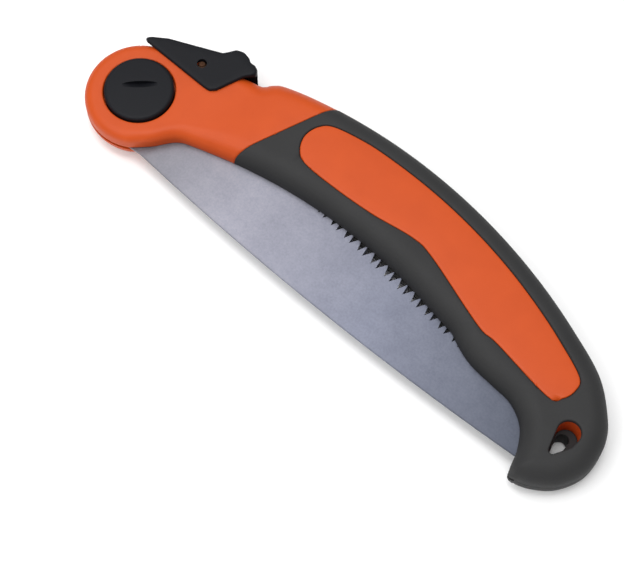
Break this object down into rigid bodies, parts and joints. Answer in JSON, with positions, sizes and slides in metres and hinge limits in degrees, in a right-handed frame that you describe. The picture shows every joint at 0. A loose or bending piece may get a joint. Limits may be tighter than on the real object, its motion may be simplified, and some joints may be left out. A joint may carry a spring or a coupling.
{
  "type": "folding pruning saw",
  "caption": "Folding pruning saw, shut: wide toothed blade in a curved two-shell handle with soft grip, slotted pivot knob, rocking lock lever and lanyard hole.",
  "frame": {"origin": "where the blade pivot's axis meets the plane the saw rests on, at the middle of the rear cap's flat outer face", "axes": "+X from the pivot along the folded saw to the pommel, +Y from the belly to the back of the handle, +Z through its thickness, up when it lies on its rear side"},
  "size_m": [0.2513, 0.076, 0.021],
  "materials": {
    "orange_shell": "satin moulded polypropylene",
    "soft_grip": "matt moulded soft rubber",
    "black_plastic": "matt glass-filled nylon",
    "blade_steel": "fine ground carbon steel",
    "lock_steel": "hardened steel",
    "zinc_steel": "zinc plated",
    "pin_bronze": "brown oxide pin ends",
    "bumper": "matt"
  },
  "bodies": {
    "handle": {"front_shell": "orange_shell", "rear_shell": "orange_shell", "front_grip": "soft_grip", "rear_grip": "soft_grip", "rear_cap": "black_plastic", "pivot_nut": "zinc_steel", "pivot_sleeve": "zinc_steel", "front_washer": "zinc_steel", "rear_washer": "zinc_steel", "spring_washer": "zinc_steel", "stop_pin": "zinc_steel", "blade_rest": "bumper", "lever_pin": "pin_bronze", "lock_spring": "zinc_steel", "handle_screw_1": "zinc_steel", "handle_screw_2": "zinc_steel", "handle_screw_3": "zinc_steel", "handle_screw_4": "zinc_steel"},
    "saw_blade": {"blade": "blade_steel"},
    "lever": {"lock_lever": "black_plastic", "lock_pawl": "lock_steel"},
    "pivot_screw": {"pivot_knob": "black_plastic", "pivot_bolt": "zinc_steel"}
  },
  "joints": [
    {"name": "blade_fold", "type": "hinge", "parent": "handle", "child": "saw_blade", "pos_m": [0, 0, 0.0105], "axis": [0, 0, -1], "range_deg": [0, 172]},
    {"name": "lever_press", "type": "hinge", "parent": "handle", "child": "lever", "pos_m": [0.01135, 0.02455, 0.0105], "axis": [0, 0, -1], "range_deg": [-5, 8], "deforming": ["lock_spring"]},
    {"name": "knob_turn", "type": "hinge", "parent": "handle", "child": "pivot_screw", "pos_m": [0, 0, 0.0105], "axis": [0, 0, 1], "range_deg": [-90, 90]}
  ]
}
